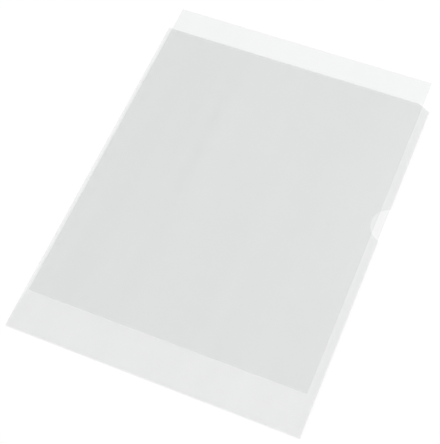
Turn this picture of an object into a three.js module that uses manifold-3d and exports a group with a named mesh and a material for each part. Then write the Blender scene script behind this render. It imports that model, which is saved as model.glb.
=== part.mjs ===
// Clear L-shaped document folder, lying flat, with one see-through sheet pulled up past its open top.
// The pocket is one blank of clear film: folded along the left side, fused along the bottom, open along
// the top and the right. Millimetres, +Z up. The origin is the middle of the back leaf's underside, +X runs
// towards the open side and +Y towards the open top.

import * as THREE from "three";
import { mergeVertices } from "three/addons/utils/BufferGeometryUtils.js";
import Module from "manifold-3d";

const wasm = await Module();
wasm.setup();

// Document sheet
const sheetWidth = 215.9;
const sheetHeight = 279.4;
const sheetThickness = 0.1;
const sheetPulledUp = 27; // from its place at the bottom of the pocket

// Film and the room that it leaves round the sheet
const filmThickness = 0.18;
const layerClearance = 0.3; // air between the sheet and each leaf
const foldRoom = 2.3; // from the start of the bend to the sheet's left edge
const openSideRoom = 6.97; // film past the sheet's right edge
const seatRoom = 0.5; // from the pinch to a sheet pushed right in
const topRoom = 4.7; // film above a sheet pushed right in

// Bottom weld, and the stretch above it where the leaves draw together
const weldWidth = 1.2;
const weldBead = 0.06; // how far the fused bead stands above the two films
const weldEdgeRound = 0.3; // how far the bead's outer edge is rounded in
const pinchLength = 3;
const pinchOpening = 0.05; // air left between the leaves where the weld starts
const pinchSteps = 10;

// Cut edges
const frontOverhang = 0.9; // how far the front leaf reaches past the back one at the open side
const cornerRadius = 1.2; // both bottom corners
const clipAcross = 10.5; // clipped top right corner, along the top edge
const clipDown = 5.2; // and down the open side
const notchRadius = 15;
const notchCentreOut = 4.4; // how far the notch's centre lies outside the open side
const notchHeight = 175.5; // its centre, above the folder's bottom edge
const notchFillet = 2;

// Line that the front leaf bends over when its free corner is lifted
const hingeInset = 15; // past the end of the fold and past the end of the weld
const hingeGap = 0.3;

const arcSegments = 24;

// Sizes that follow from those above
const pocketDepth = sheetThickness + 2 * layerClearance;
const folderThickness = pocketDepth + 2 * filmThickness;
const bendRadius = folderThickness / 2;
const folderWidth = bendRadius + foldRoom + sheetWidth + openSideRoom;
const folderHeight = weldWidth + pinchLength + seatRoom + sheetHeight + topRoom;
const left = -folderWidth / 2;
const right = folderWidth / 2;
const bottom = -folderHeight / 2;
const top = folderHeight / 2;
const bendEnd = left + bendRadius; // where the bend runs out into the flat leaves
const weldTop = bottom + weldWidth;
const pinchTop = weldTop + pinchLength;
const frontLeafBase = folderThickness - filmThickness;

// Height of the air gap between the leaves: closed at the weld, fully open at the top of the pinch
function gapAt(y) {
  const rise = THREE.MathUtils.smoothstep(y, weldTop, pinchTop);
  return pinchOpening + (pocketDepth - pinchOpening) * rise;
}

// Heights up the pinch at which its curve has a point
function pinchRows() {
  return Array.from({ length: pinchSteps + 1 }, (_, i) => weldTop + (pinchLength * i) / pinchSteps);
}

function solidOf(geometry) {
  const bare = new THREE.BufferGeometry();
  bare.setAttribute("position", geometry.getAttribute("position"));
  bare.setIndex(geometry.getIndex());
  const merged = mergeVertices(bare, 1e-5);
  const mesh = new wasm.Mesh({
    numProp: 3,
    vertProperties: new Float32Array(merged.getAttribute("position").array),
    triVerts: new Uint32Array(merged.getIndex().array),
  });
  return new wasm.Manifold(mesh);
}

function geometryOf(solid) {
  const mesh = solid.getMesh();
  const geometry = new THREE.BufferGeometry();
  geometry.setAttribute("position", new THREE.BufferAttribute(mesh.vertProperties, 3));
  geometry.setIndex(new THREE.BufferAttribute(mesh.triVerts, 1));
  const faceted = geometry.toNonIndexed();
  faceted.computeVertexNormals();
  return faceted;
}

// An outline drawn in plan, raised from base by thickness
function plate(outline, base, thickness) {
  const options = { depth: thickness, bevelEnabled: false, curveSegments: arcSegments };
  return solidOf(new THREE.ExtrudeGeometry(outline, options).translate(0, 0, base));
}

// A profile drawn in Y and Z, run along X from one side to the other
function runAcross(profile, from, to) {
  const options = { depth: to - from, bevelEnabled: false, curveSegments: arcSegments };
  const turned = new THREE.Matrix4().makeBasis(
    new THREE.Vector3(0, 1, 0),
    new THREE.Vector3(0, 0, 1),
    new THREE.Vector3(1, 0, 0),
  );
  return solidOf(new THREE.ExtrudeGeometry(profile, options).applyMatrix4(turned).translate(from, 0, 0));
}

// A loft through closed rings of points, each ring with the same count, its ends capped
function loft(rings) {
  const count = rings[0].length;
  const points = rings.flat().flatMap((point) => point.toArray());
  const faces = [];
  for (let ring = 0; ring + 1 < rings.length; ring++) {
    for (let i = 0; i < count; i++) {
      const here = ring * count + i;
      const beside = ring * count + ((i + 1) % count);
      faces.push(here, beside, here + count);
      faces.push(beside, beside + count, here + count);
    }
  }
  const lastStart = (rings.length - 1) * count;
  const section = rings[0].map((point) => new THREE.Vector2(point.x, point.z));
  for (const [a, b, c] of THREE.ShapeUtils.triangulateShape(section, [])) {
    faces.push(a, b, c);
    faces.push(lastStart + a, lastStart + c, lastStart + b);
  }
  const geometry = new THREE.BufferGeometry();
  geometry.setAttribute("position", new THREE.Float32BufferAttribute(points, 3));
  geometry.setIndex(faces);
  return solidOf(geometry);
}

// Plan of the folder as it is cut: rounded bottom corners and the clipped top right one
function folderOutline() {
  const outline = new THREE.Shape();
  outline.moveTo(left + cornerRadius, bottom);
  outline.lineTo(right - cornerRadius, bottom);
  outline.absarc(right - cornerRadius, bottom + cornerRadius, cornerRadius, -Math.PI / 2, 0, false);
  outline.lineTo(right, top - clipDown);
  outline.lineTo(right - clipAcross, top);
  outline.lineTo(left, top);
  outline.lineTo(left, bottom + cornerRadius);
  outline.absarc(left + cornerRadius, bottom + cornerRadius, cornerRadius, Math.PI, Math.PI * 1.5, false);
  return outline;
}

function rectangle(x0, y0, x1, y1) {
  const outline = new THREE.Shape();
  outline.moveTo(x0, y0);
  outline.lineTo(x1, y0);
  outline.lineTo(x1, y1);
  outline.lineTo(x0, y1);
  outline.closePath();
  return outline;
}

// What the thumb notch takes out of the front leaf: a round bite, with a fillet where it meets the edge
function notchOutline() {
  const centre = new THREE.Vector2(right + notchCentreOut, bottom + notchHeight);
  const across = notchCentreOut + notchFillet;
  const reach = Math.sqrt((notchRadius + notchFillet) ** 2 - across ** 2);
  const lean = Math.atan2(reach, across); // from the open side's normal to the line between the two centres
  const filletX = right - notchFillet;
  const outline = new THREE.Shape();
  outline.moveTo(right, centre.y + reach);
  outline.absarc(filletX, centre.y + reach, notchFillet, 0, -lean, true);
  outline.absarc(centre.x, centre.y, notchRadius, Math.PI - lean, Math.PI + lean, false);
  outline.absarc(filletX, centre.y - reach, notchFillet, lean, 0, true);
  outline.lineTo(centre.x, centre.y - reach);
  outline.lineTo(centre.x, centre.y + reach);
  outline.closePath();
  return outline;
}

// The bending line runs from beside the end of the fold to beside the end of the weld
const hingeTop = new THREE.Vector2(bendEnd + hingeInset, top);
const hingeFoot = new THREE.Vector2(right, pinchTop + hingeInset);
const hingeMiddle = hingeTop.clone().lerp(hingeFoot, 0.5);

// Everything on one side of the bending line, half the hinge's gap away from it
function sideOfHinge(side) {
  const along = hingeFoot.clone().sub(hingeTop).normalize();
  const away = new THREE.Vector2(-along.y, along.x).multiplyScalar(side);
  const reach = folderWidth + folderHeight;
  const corners = [
    hingeMiddle.clone().addScaledVector(along, -reach).addScaledVector(away, hingeGap / 2),
    hingeMiddle.clone().addScaledVector(along, reach).addScaledVector(away, hingeGap / 2),
    hingeMiddle.clone().addScaledVector(along, reach).addScaledVector(away, reach),
    hingeMiddle.clone().addScaledVector(along, -reach).addScaledVector(away, reach),
  ];
  return plate(new THREE.Shape(corners), 0, folderThickness);
}

const cutSolid = plate(folderOutline(), 0, folderThickness);

function backLeaf() {
  return plate(rectangle(bendEnd, weldTop, right - frontOverhang, top), 0, filmThickness).intersect(cutSolid);
}

function foldBend() {
  const angles = Array.from({ length: arcSegments + 1 }, (_, i) => -Math.PI / 2 + (Math.PI * i) / arcSegments);
  const rings = [...pinchRows(), top].map((y) => {
    const gap = gapAt(y);
    const half = gap / 2 + filmThickness;
    const outer = angles.map(
      (a) => new THREE.Vector3(bendEnd - bendRadius * Math.cos(a), y, half + half * Math.sin(a)),
    );
    const inner = angles.map(
      (a) =>
        new THREE.Vector3(
          bendEnd - (bendRadius - filmThickness) * Math.cos(a),
          y,
          half + (gap / 2) * Math.sin(a),
        ),
    );
    return [...outer, ...inner.reverse()];
  });
  return loft(rings).intersect(cutSolid);
}

function bottomWeld() {
  const beadHeight = 2 * filmThickness + pinchOpening + weldBead;
  const bead = new THREE.Shape();
  bead.moveTo(weldTop, 0);
  bead.lineTo(weldTop, beadHeight);
  bead.lineTo(bottom + weldEdgeRound, beadHeight);
  bead.absellipse(
    bottom + weldEdgeRound,
    beadHeight / 2,
    weldEdgeRound,
    beadHeight / 2,
    Math.PI / 2,
    Math.PI * 1.5,
    false,
  );
  bead.closePath();

  const under = pinchRows().map((y) => new THREE.Vector2(y, filmThickness + gapAt(y)));
  const over = under.map((point) => new THREE.Vector2(point.x, point.y + filmThickness));
  const root = weldTop - weldEdgeRound; // the drawn-down film starts inside the bead
  const film = new THREE.Shape([
    new THREE.Vector2(root, under[0].y),
    ...under,
    ...over.reverse(),
    new THREE.Vector2(root, under[0].y + filmThickness),
  ]);
  return runAcross(bead, left, right).add(runAcross(film, bendEnd, right)).intersect(cutSolid);
}

function frontLeaf() {
  const flat = rectangle(bendEnd, pinchTop, right, top);
  const notch = plate(notchOutline(), 0, folderThickness + filmThickness);
  return plate(flat, frontLeafBase, filmThickness).intersect(cutSolid).subtract(notch);
}

function documentSheet() {
  return plate(rectangle(0, 0, sheetWidth, sheetHeight), 0, sheetThickness);
}

const clearFilm = { color: 0xe3e7e6, roughness: 0.32, metalness: 0, transparent: true, opacity: 0.35 };

function meshOf(name, solid, finish) {
  const mesh = new THREE.Mesh(geometryOf(solid), new THREE.MeshStandardMaterial(finish));
  mesh.name = name;
  return mesh;
}

const folder = new THREE.Group();
folder.name = "clear_folder";

const pocket = new THREE.Group();
pocket.add(meshOf("back_leaf", backLeaf(), clearFilm));
pocket.add(meshOf("fold_bend", foldBend(), { ...clearFilm, roughness: 0.22 }));
pocket.add(meshOf("bottom_weld", bottomWeld(), { ...clearFilm, roughness: 0.45 }));
pocket.add(meshOf("front_leaf_held", frontLeaf().intersect(sideOfHinge(-1)), clearFilm));
folder.add(pocket);

// The free corner turns about the bending line, halfway through the film
const cornerPivot = new THREE.Group();
cornerPivot.position.set(hingeMiddle.x, hingeMiddle.y, frontLeafBase + filmThickness / 2);
const freeCorner = meshOf("front_leaf_corner", frontLeaf().intersect(sideOfHinge(1)), clearFilm);
freeCorner.position.copy(cornerPivot.position).negate();
cornerPivot.add(freeCorner);
folder.add(cornerPivot);

const sheetFinish = { color: 0xeef0ef, roughness: 0.5, metalness: 0, transparent: true, opacity: 0.4 };
const sheet = meshOf("document_sheet", documentSheet(), sheetFinish);
sheet.position.set(bendEnd + foldRoom, pinchTop + seatRoom + sheetPulledUp, filmThickness + layerClearance);
folder.add(sheet);

export default folder;
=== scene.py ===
# Clear document folder lying flat, with one see-through sheet pulled part way out of its open top.
# The folder is one blank of clear film: folded along the left side and welded along the bottom.

import math

import bpy
from mathutils import Matrix, Vector, noise


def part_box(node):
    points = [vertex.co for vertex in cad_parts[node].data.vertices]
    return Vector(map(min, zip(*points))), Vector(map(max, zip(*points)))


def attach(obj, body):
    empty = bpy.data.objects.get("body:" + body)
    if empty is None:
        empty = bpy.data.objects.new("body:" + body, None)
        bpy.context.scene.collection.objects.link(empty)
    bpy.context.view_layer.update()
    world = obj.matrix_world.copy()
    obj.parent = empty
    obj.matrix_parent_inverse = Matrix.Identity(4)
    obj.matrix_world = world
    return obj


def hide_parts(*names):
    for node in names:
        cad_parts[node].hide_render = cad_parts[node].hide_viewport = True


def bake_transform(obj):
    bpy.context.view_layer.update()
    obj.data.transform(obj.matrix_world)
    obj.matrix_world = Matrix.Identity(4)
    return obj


mm = 0.001
hair = 0.01 * mm  # closer than this counts as the same place

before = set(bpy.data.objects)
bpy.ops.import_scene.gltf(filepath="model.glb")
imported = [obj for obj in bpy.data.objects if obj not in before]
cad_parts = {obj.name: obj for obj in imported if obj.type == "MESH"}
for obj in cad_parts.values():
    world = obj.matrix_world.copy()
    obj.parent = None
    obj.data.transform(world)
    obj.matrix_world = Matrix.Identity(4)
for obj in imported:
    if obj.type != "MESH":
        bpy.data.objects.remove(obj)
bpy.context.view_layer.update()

# Places that every piece shares, read from the frame
backLow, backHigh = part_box("back_leaf")
weldLow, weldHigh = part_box("bottom_weld")
sheetLow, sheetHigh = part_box("document_sheet")
left, right = weldLow.x, weldHigh.x
bottom, top = weldLow.y, backHigh.y
bendEnd = backLow.x  # where the fold runs out into the flat leaves
weldTop, pinchTop = backLow.y, weldHigh.y
filmThickness = backHigh.z
folderThickness = weldHigh.z
bendHeight = folderThickness / 2


def deselectAll():
    if bpy.context.mode != "OBJECT":
        bpy.ops.object.mode_set(mode="OBJECT")
    for thing in list(bpy.context.selected_objects):
        thing.select_set(False)


def pick(piece):
    deselectAll()
    bpy.context.view_layer.objects.active = piece
    piece.select_set(True)


# Starts a piece from the primitive just added: its place and size go into the mesh
def settle(name, size):
    piece = bpy.context.object
    piece.name = name
    piece.data.name = name
    bpy.ops.object.mode_set(mode="EDIT")
    bpy.ops.mesh.select_all(action="SELECT")
    bpy.ops.transform.resize(value=size)
    bpy.ops.object.mode_set(mode="OBJECT")
    bpy.ops.object.transform_apply(location=True, rotation=True, scale=True)
    return piece


def addSlab(name, low, high):
    deselectAll()
    bpy.ops.mesh.primitive_cube_add(size=1, location=(Vector(low) + Vector(high)) / 2)
    return settle(name, Vector(high) - Vector(low))


# A flat grid of near-square cells, facing up
def addGrid(name, low, high, height, cell):
    deselectAll()
    wide, deep = high[0] - low[0], high[1] - low[1]
    bpy.ops.mesh.primitive_grid_add(
        x_subdivisions=round(wide / cell),
        y_subdivisions=round(deep / cell),
        size=1,
        location=((low[0] + high[0]) / 2, (low[1] + high[1]) / 2, height),
    )
    return settle(name, (wide, deep, 1))


def addPost(name, centre, radius, low, high, sides):
    deselectAll()
    bpy.ops.mesh.primitive_cylinder_add(
        vertices=sides, radius=radius, depth=high - low, location=(centre[0], centre[1], (low + high) / 2)
    )
    return settle(name, (1, 1, 1))


def cutAcross(piece, point, normal, dropOuter=False):
    pick(piece)
    bpy.ops.object.mode_set(mode="EDIT")
    bpy.ops.mesh.select_all(action="SELECT")
    bpy.ops.mesh.bisect(
        plane_co=point, plane_no=Vector(normal).normalized(), clear_outer=dropOuter, threshold=hair / 10
    )
    bpy.ops.object.mode_set(mode="OBJECT")


def applyModifier(piece, kind, **settings):
    pick(piece)
    modifier = piece.modifiers.new(kind.title(), kind)
    for setting, value in settings.items():
        setattr(modifier, setting, value)
    bpy.ops.object.modifier_apply(modifier=modifier.name)


def combine(piece, other, operation):
    applyModifier(piece, "BOOLEAN", object=other, operation=operation, solver="EXACT")
    bpy.data.objects.remove(other)


# Selects the faces or edges that pass a test on their middle, and leaves the piece in edit mode
def selectParts(piece, kind, test):
    pick(piece)
    bpy.ops.object.mode_set(mode="EDIT")
    bpy.ops.mesh.select_mode(type=kind)
    bpy.ops.mesh.select_all(action="DESELECT")
    bpy.ops.object.mode_set(mode="OBJECT")
    mesh = piece.data
    for part in mesh.polygons if kind == "FACE" else mesh.edges:
        points = [mesh.vertices[i].co for i in part.vertices]
        part.select = test(points)
    bpy.ops.object.mode_set(mode="EDIT")


def finishSurface(piece, angle):
    pick(piece)
    bpy.ops.object.mode_set(mode="EDIT")
    bpy.ops.mesh.select_all(action="SELECT")
    bpy.ops.mesh.remove_doubles(threshold=hair / 10)
    bpy.ops.mesh.normals_make_consistent(inside=False)
    bpy.ops.object.mode_set(mode="OBJECT")
    bpy.ops.object.shade_smooth_by_angle(angle=math.radians(angle))


def giveMaterial(piece, material):
    piece.data.materials.clear()
    piece.data.materials.append(material)


def easeInOut(t):
    t = min(max(t, 0), 1)
    return t * t * (3 - 2 * t)


# Front leaf: one film with the fold, drawn down into the weld at its foot
frontValues = {
    "cell": 2.6 * mm,
    "clipAcross": 10.5 * mm,
    "clipDown": 5.2 * mm,
    "notchRadius": 15 * mm,
    "notchCentreOut": 4.4 * mm,
    "notchHeight": 175.5 * mm,
    "notchFillet": 2 * mm,
    "notchSides": 128,
    "filletSides": 48,
    "cutterMargin": 0.1 * mm,  # each cutter reaches this much past the one before
    "pinchRows": 10,
    "pinchOpening": 0.05 * mm,
    "foldSteps": 14,
    "sag": 0.15 * mm,  # how far the film settles towards the sheet between its held sides
    "sagReach": 30 * mm,
    "rippleLength": 70 * mm,
    "rippleShare": 0.4,
    "smoothAngle": 35,
    "liftReach": 110 * mm,  # how far past the bending line the film is fully turned
}


# A round bite in the open side, and the mouth that turns its two ends into fillets
def notchCutter(values):
    centreX, centreY = right + values["notchCentreOut"], bottom + values["notchHeight"]
    radius, fillet = values["notchRadius"], values["notchFillet"]
    across = values["notchCentreOut"] + fillet
    reach = math.sqrt((radius + fillet) ** 2 - across**2)
    tangentX = right - fillet + fillet * across / (radius + fillet)
    low, high, margin = bendHeight, 2 * folderThickness, values["cutterMargin"]
    cutter = addPost("notchCutter", (centreX, centreY), radius, low, high, values["notchSides"])
    mouth = addSlab(
        "notchMouth",
        (tangentX, centreY - reach, low - margin),
        (right + fillet, centreY + reach, high + margin),
    )
    for side in (-1, 1):
        post = addPost(
            "filletPost",
            (right - fillet, centreY + side * reach),
            fillet,
            low - 2 * margin,
            high + 2 * margin,
            values["filletSides"],
        )
        combine(mouth, post, "DIFFERENCE")
    combine(cutter, mouth, "UNION")
    return cutter


# Height of the air gap between the leaves: nearly closed at the weld, open at the top of the pinch
def gapAt(y, values):
    full = folderThickness - 2 * filmThickness
    rise = easeInOut((y - weldTop) / (pinchTop - weldTop))
    return values["pinchOpening"] + (full - values["pinchOpening"]) * rise


# Brings the film and the fold down to the weld along that gap
def drawDown(piece, values):
    for vertex in piece.data.vertices:
        place = vertex.co
        if place.y > pinchTop:
            continue
        gap = gapAt(place.y, values)
        half = gap / 2 + filmThickness
        sideways = min(place.x - bendEnd, 0)
        upright = place.z - bendHeight
        reach = math.hypot(sideways, upright) if sideways < 0 else abs(upright)
        outer = reach > bendHeight - filmThickness / 2
        place.z = half + (half if outer else gap / 2) * upright / reach


# The free film settles a little between the fold, the weld and its open sides
def settleFilm(piece, values):
    for vertex in piece.data.vertices:
        place = vertex.co
        if place.x < bendEnd or place.z < bendHeight:
            continue
        fromFold = easeInOut((place.x - bendEnd) / values["sagReach"])
        fromWeld = easeInOut((place.y - pinchTop) / values["sagReach"])
        spot = Vector((place.x / values["rippleLength"], place.y / values["rippleLength"], 0))
        ripple = 1 - values["rippleShare"] + values["rippleShare"] * noise.noise(spot)
        place.z -= values["sag"] * fromFold * fromWeld * ripple


def makeFrontFilm(values):
    film = addGrid("front_film", (bendEnd, weldTop), (right, top), folderThickness, values["cell"])
    for row in range(1, values["pinchRows"] + 1):
        y = weldTop + (pinchTop - weldTop) * row / values["pinchRows"]
        cutAcross(film, (0, y, 0), (0, 1, 0))
    clipNormal = (values["clipDown"], values["clipAcross"], 0)
    cutAcross(film, (right - values["clipAcross"], top, 0), clipNormal, dropOuter=True)
    applyModifier(film, "SOLIDIFY", thickness=filmThickness, offset=-1)
    combine(film, notchCutter(values), "DIFFERENCE")
    selectParts(film, "FACE", lambda points: all(abs(p.x - bendEnd) < hair for p in points))
    bpy.ops.mesh.spin(
        steps=values["foldSteps"], angle=math.pi, center=(bendEnd, 0, bendHeight), axis=(0, 1, 0)
    )
    bpy.ops.object.mode_set(mode="OBJECT")
    drawDown(film, values)
    settleFilm(film, values)
    finishSurface(film, values["smoothAngle"])
    return film


# Weld along the bottom: the hot blade cuts both films and fuses them into a rounded bead
weldValues = {
    "beadHeight": 0.47 * mm,
    "cornerShare": 0.97,  # of the weld's width that each end is rounded by
    "edgeRound": 0.2 * mm,
    "cornerSteps": 8,
    "edgeSteps": 5,
    "cell": 1.4 * mm,
    "rippleLength": 5 * mm,
    "rippleHeight": 0.03 * mm,
    "smoothAngle": 40,
}


# The upright edges at the bead's two outer corners
def isOuterCorner(points):
    return abs(points[0].z - points[1].z) > 10 * hair and points[0].y < bottom + 10 * hair


# The bead's top and foot rims, but not on the side of the films or along its two ends
def isOuterRim(points):
    level = abs(points[0].z - points[1].z) < hair
    outer = min(point.y for point in points) < weldTop - hair
    atEnd = abs(points[0].x - points[1].x) < hair
    return level and outer and not atEnd


def makeWeldBead(values):
    bead = addSlab("weld_bead", (left, bottom, 0), (right, weldTop, values["beadHeight"]))
    selectParts(bead, "EDGE", isOuterCorner)
    bpy.ops.mesh.bevel(
        offset=(weldTop - bottom) * values["cornerShare"], segments=values["cornerSteps"]
    )
    selectParts(bead, "EDGE", isOuterRim)
    bpy.ops.mesh.bevel(offset=values["edgeRound"], segments=values["edgeSteps"])
    bpy.ops.object.mode_set(mode="OBJECT")
    cuts = round((right - left) / values["cell"])
    for i in range(1, cuts):
        cutAcross(bead, (left + (right - left) * i / cuts, 0, 0), (1, 0, 0))
    for vertex in bead.data.vertices:
        place = vertex.co
        if place.z > 2 * hair and place.y > bottom + 2 * hair:
            spot = Vector((place.x, place.y * 2, 0)) / values["rippleLength"]
            place.z -= values["rippleHeight"] * (0.5 + 0.5 * noise.noise(spot))
    finishSurface(bead, values["smoothAngle"])
    return bead


# Document sheet: clear polyester, cut square, lying loose in the pocket
sheetValues = {
    "cell": 4 * mm,
    "waveLength": 90 * mm,
    "waveHeight": 0.07 * mm,
    "smoothAngle": 35,
}


def makeSheet(values):
    sheet = addGrid("document_film", sheetLow, sheetHigh, sheetHigh.z, values["cell"])
    applyModifier(sheet, "SOLIDIFY", thickness=sheetHigh.z - sheetLow.z, offset=-1)
    for vertex in sheet.data.vertices:
        spot = Vector((vertex.co.x, vertex.co.y, 0.3)) / values["waveLength"]
        vertex.co.z += values["waveHeight"] * noise.noise(spot)
    finishSurface(sheet, values["smoothAngle"])
    return sheet


# Turns an sRGB hex colour linear
def colourOf(text):
    parts = [int(text[i : i + 2], 16) / 255 for i in (0, 2, 4)]
    linear = [c / 12.92 if c <= 0.04045 else ((c + 0.055) / 1.055) ** 2.4 for c in parts]
    return (*linear, 1)


# Adds a node: sockets in inputs are linked, and plain values are set on it
def addNode(tree, kind, inputs=None, **settings):
    node = tree.nodes.new(kind)
    for setting, value in settings.items():
        setattr(node, setting, value)
    for name, value in (inputs or {}).items():
        if isinstance(value, bpy.types.NodeSocket):
            tree.links.new(value, node.inputs[name])
        else:
            node.inputs[name].default_value = value
    return node


def newMaterial(name):
    material = bpy.data.materials.new(name)
    material.use_nodes = True
    material.node_tree.nodes.clear()
    return material


# Cast polypropylene film, embossed with a fine satin grain: clear, a little grey on white and milky on
# dark, because the grain scatters some of the light, and glossier and less clear at a low angle
filmFinish = {
    "through": "ffffff",
    "haze": "bdc1c0",
    "cover": 0.0765,  # share of one face that the haze takes, seen square on
    "coverLow": 0.35,  # more of it, seen at a low angle
    "lowAnglePower": 4,
    "paintedLightGradient": 0.05,  # painted light gradient: the haze is a little denser at the fold and thinner at the open side, so the film is drawn darker on the left and lighter on the right
    "paintedFoldHighlight": "f0f2f2",  # painted highlight along the fold, whitest at the bend
    "paintedNearFoldHighlight": "c9cccb",
    "nearFoldHighlightShare": 0.8,  # of the way from the end of the painted fold highlight to the bend
    "foldHighlightReach": 8 * mm,  # how far in from the bend the painted highlight runs
    "pressedHighlightReach": 1.2 * mm,  # the same below the sheet's foot, where the fold is pressed flat
    "pressedHighlightFade": 10 * mm,
    "streaks": 0.06,
    "streakWidth": 14 * mm,
    "streakLength": 400 * mm,
    "streakShift": 0.5,
    "grain": 0.7 * mm,  # the real one is about 0.4 mm, drawn coarser so that it shows
    "grainDepth": 0.006 * mm,
    "roughness": 0.3,
    "roughnessSpread": 0.05,
    "ior": 1.49,
}

# Clear polyester, 0.1 mm: smoother and a little glossier than the folder's film
sheetFinish = {
    "through": "ffffff",
    "haze": "bcc4c3",
    "cover": 0.0725,
    "coverLow": 0.3,
    "lowAnglePower": 4,
    # painted light gradient, as on the folder's film: darker on the left, lighter on the right
    "paintedLightGradient": 0.05,
    "streaks": 0.06,
    "streakWidth": 30 * mm,
    "streakLength": 500 * mm,
    "streakShift": 0,
    "grain": 1.5 * mm,
    "grainDepth": 0.002 * mm,
    "roughness": 0.18,
    "roughnessSpread": 0.05,
    "ior": 1.6,
}

# Fused weld: the same polypropylene, melted smooth, so clearer and glossier, with a denser rim
weldFinish = {
    # it keeps the film's painted fold highlight and painted light gradient
    **filmFinish,
    "cover": 0.1,
    "grain": 1.2 * mm,
    "grainDepth": 0.01 * mm,
    "roughness": 0.16,
}


# Painted highlight along the fold: haze colour that is whitest at the bend and fades inwards, over a
# shorter way below the sheet
def addPaintedFoldHighlight(tree, x, y, values):
    highlightEnd = addNode(
        tree,
        "ShaderNodeMapRange",
        {
            "Value": y,
            "From Min": sheetLow.y - values["pressedHighlightFade"],
            "From Max": sheetLow.y,
            "To Min": bendEnd + values["pressedHighlightReach"],
            "To Max": bendEnd + values["foldHighlightReach"],
        },
        interpolation_type="SMOOTHSTEP",
    )
    near = addNode(
        tree,
        "ShaderNodeMapRange",
        {"Value": x, "From Min": highlightEnd.outputs["Result"], "From Max": bendEnd},
    )
    ramp = addNode(tree, "ShaderNodeValToRGB", {"Fac": near.outputs["Result"]})
    stops = ramp.color_ramp.elements
    stops[0].color = colourOf(values["haze"])
    stops[1].color = colourOf(values["paintedFoldHighlight"])
    stops.new(values["nearFoldHighlightShare"]).color = colourOf(values["paintedNearFoldHighlight"])
    return ramp.outputs["Color"]


# Share of each face that the haze takes: streaked along the film as it was drawn, with a painted light
# gradient from darker on the left to lighter on the right, and more at a low angle
def addCover(tree, place, x, values):
    drawn = addNode(
        tree,
        "ShaderNodeMapping",
        {
            "Vector": place,
            "Location": (values["streakShift"], 0, 0),
            "Scale": (1 / values["streakWidth"], 1 / values["streakLength"], 1 / mm),
        },
    )
    streaks = addNode(
        tree, "ShaderNodeTexNoise", {"Vector": drawn.outputs["Vector"], "Scale": 1, "Detail": 3}
    )
    streakShare = addNode(
        tree,
        "ShaderNodeMapRange",
        {
            "Value": streaks.outputs["Fac"],
            "From Min": 0.3,
            "From Max": 0.7,
            "To Min": 1 - values["streaks"],
            "To Max": 1 + values["streaks"],
        },
    )
    # painted light gradient: more haze on the left, less on the right
    paintedGradientShare = addNode(
        tree,
        "ShaderNodeMapRange",
        {
            "Value": x,
            "From Min": left,
            "From Max": right,
            "To Min": 1 + values["paintedLightGradient"],
            "To Max": 1 - values["paintedLightGradient"],
        },
    )
    density = addNode(
        tree,
        "ShaderNodeMath",
        {0: streakShare.outputs["Result"], 1: paintedGradientShare.outputs["Result"]},
        operation="MULTIPLY",
    )
    facing = addNode(tree, "ShaderNodeLayerWeight", {"Blend": 0.5})
    steep = addNode(
        tree,
        "ShaderNodeMath",
        {0: facing.outputs["Facing"], 1: values["lowAnglePower"]},
        operation="POWER",
    )
    lowAngle = addNode(
        tree, "ShaderNodeMath", {0: steep.outputs[0], 1: values["coverLow"]}, operation="MULTIPLY"
    )
    cover = addNode(
        tree,
        "ShaderNodeMath",
        {0: density.outputs[0], 1: values["cover"], 2: lowAngle.outputs[0]},
        operation="MULTIPLY_ADD",
    )
    return cover.outputs[0]


def clearPlastic(name, values):
    material = newMaterial(name)
    tree = material.node_tree
    place = addNode(tree, "ShaderNodeTexCoord").outputs["Object"]
    axes = addNode(tree, "ShaderNodeSeparateXYZ", {"Vector": place}).outputs
    cover = addCover(tree, place, axes["X"], values)
    grain = addNode(
        tree, "ShaderNodeTexNoise", {"Vector": place, "Scale": 1 / values["grain"], "Detail": 1.5}
    )
    bump = addNode(
        tree, "ShaderNodeBump", {"Height": grain.outputs["Fac"], "Distance": values["grainDepth"]}
    )
    rough = addNode(
        tree,
        "ShaderNodeMapRange",
        {
            "Value": grain.outputs["Fac"],
            "To Min": values["roughness"] - values["roughnessSpread"],
            "To Max": values["roughness"] + values["roughnessSpread"],
        },
    )
    hazeColour = colourOf(values["haze"])
    # painted highlight along the fold, whitest at the bend
    if "paintedFoldHighlight" in values:
        hazeColour = addPaintedFoldHighlight(tree, axes["X"], axes["Y"], values)
    haze = addNode(
        tree,
        "ShaderNodeBsdfPrincipled",
        {
            "Base Color": hazeColour,
            "Roughness": rough.outputs["Result"],
            "IOR": values["ior"],
            "Normal": bump.outputs["Normal"],
        },
    )
    through = addNode(tree, "ShaderNodeBsdfTransparent", {"Color": colourOf(values["through"])})
    mix = addNode(tree, "ShaderNodeMixShader", {0: cover, 1: through.outputs[0], 2: haze.outputs[0]})
    addNode(tree, "ShaderNodeOutputMaterial", {"Surface": mix.outputs[0]})
    return material


stageValues = {
    "floorSize": 12,
    "floorDrop": 0.02 * mm,  # below the back leaf, so that the two faces don't fight
    "floorLit": 0.35,  # share of the white floor that lamps light, so that it takes shadows
    "floorOwn": 0.66,
    "floorBounce": "ececec",
    "ambient": 0.6,
    "lamps": [
        {"name": "backLamp", "place": (0.7, 1.5, 2), "size": 1.6, "power": 17},
        {"name": "sideLamp", "place": (-1.9, 0.1, 1.9), "size": 1.6, "power": 11.5},
        {"name": "frontLamp", "place": (0.8, -1.7, 2), "size": 1.6, "power": 13.3},
    ],
}


# 1 for what the camera sees straight on, through clear film or in a reflection, and 0 for bounced light
def addSeenDirectly(tree):
    path = addNode(tree, "ShaderNodeLightPath").outputs
    straight = addNode(
        tree,
        "ShaderNodeMath",
        {0: path["Is Camera Ray"], 1: path["Is Transmission Ray"]},
        operation="MAXIMUM",
    )
    seen = addNode(
        tree, "ShaderNodeMath", {0: straight.outputs[0], 1: path["Is Glossy Ray"]}, operation="MAXIMUM"
    )
    return seen.outputs[0]


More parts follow.
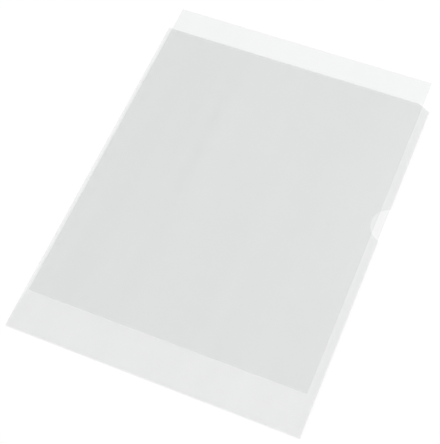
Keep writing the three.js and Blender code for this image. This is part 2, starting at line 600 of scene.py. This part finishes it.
def makeFloor(values):
    deselectAll()
    bpy.ops.mesh.primitive_plane_add(size=values["floorSize"], location=(0, 0, -values["floorDrop"]))
    floor = bpy.context.object
    floor.name = "floor"
    bpy.ops.object.transform_apply(location=True)
    material = newMaterial("whiteFloor")
    tree = material.node_tree
    seen = addSeenDirectly(tree)
    bounce = addNode(tree, "ShaderNodeBsdfDiffuse", {"Color": colourOf(values["floorBounce"])})
    lit = addNode(tree, "ShaderNodeBsdfDiffuse", {"Color": (*[values["floorLit"]] * 3, 1)})
    own = addNode(tree, "ShaderNodeEmission", {"Strength": values["floorOwn"]})
    white = addNode(tree, "ShaderNodeAddShader", {0: lit.outputs[0], 1: own.outputs[0]})
    surface = addNode(tree, "ShaderNodeMixShader", {0: seen, 1: bounce.outputs[0], 2: white.outputs[0]})
    addNode(tree, "ShaderNodeOutputMaterial", {"Surface": surface.outputs[0]})
    giveMaterial(floor, material)


def makeLight(values):
    world = bpy.data.worlds.new("studio")
    bpy.context.scene.world = world
    world.use_nodes = True
    tree = world.node_tree
    tree.nodes.clear()
    strength = addNode(
        tree,
        "ShaderNodeMapRange",
        {"Value": addSeenDirectly(tree), "To Min": values["ambient"], "To Max": 1},
    )
    sky = addNode(
        tree, "ShaderNodeBackground", {"Color": (1, 1, 1, 1), "Strength": strength.outputs["Result"]}
    )
    addNode(tree, "ShaderNodeOutputWorld", {"Surface": sky.outputs[0]})
    for lamp in values["lamps"]:
        bpy.ops.object.light_add(type="AREA", location=lamp["place"])
        light = bpy.context.object
        light.name = lamp["name"]
        light.data.size = lamp["size"]
        light.data.energy = lamp["power"]
        light.rotation_euler = (-Vector(lamp["place"])).to_track_quat("-Z", "Y").to_euler()
        light.visible_camera = False


# The photograph's view: from above the folder's foot, turned a little clockwise
cameraValues = {
    "place": (188.16 * mm, -370.14 * mm, 723.17 * mm),
    "aim": (-2.04 * mm, -9.96 * mm, 0),
    "roll": 5.736,
    "lens": 90.22,
    "sensor": 36,
    "clipStart": 0.01,
}


def makeCamera(values):
    place = Vector(values["place"])
    looking = Vector(values["aim"]) - place
    rolled = Matrix.Rotation(math.radians(-values["roll"]), 3, "Z")
    turned = looking.to_track_quat("-Z", "Y").to_matrix() @ rolled
    bpy.ops.object.camera_add(location=place, rotation=turned.to_euler())
    camera = bpy.context.object
    camera.name = "photoView"
    camera.data.lens = values["lens"]
    camera.data.sensor_width = values["sensor"]
    camera.data.clip_start = values["clipStart"]
    bpy.context.scene.camera = camera


makeCamera(cameraValues)
makeLight(stageValues)
makeFloor(stageValues)
bpy.context.scene.view_settings.view_transform = "Standard"
# A look through the stack of films, and the light back out of it, passes many faces
bpy.context.scene.cycles.transparent_max_bounces = 32
print("stage and camera made")

clearFilm = clearPlastic("satinPolypropyleneFilm", filmFinish)
clearSheet = clearPlastic("clearPolyesterSheet", sheetFinish)
fusedFilm = clearPlastic("fusedPolypropylene", weldFinish)
print("materials made")

frontFilm = makeFrontFilm(frontValues)
giveMaterial(frontFilm, clearFilm)
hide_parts("front_leaf_held", "front_leaf_corner", "fold_bend")
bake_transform(frontFilm)
print("front film:", len(frontFilm.data.polygons), "faces")

weldBead = makeWeldBead(weldValues)
giveMaterial(weldBead, fusedFilm)
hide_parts("bottom_weld")
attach(weldBead, "pocket")
print("weld bead:", len(weldBead.data.polygons), "faces")

sheet = makeSheet(sheetValues)
giveMaterial(sheet, clearSheet)
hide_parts("document_sheet")
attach(sheet, "sheet")
print("document sheet:", len(sheet.data.polygons), "faces")

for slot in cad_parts["back_leaf"].material_slots:
    slot.material = clearFilm
print("back leaf finished")

deselectAll()
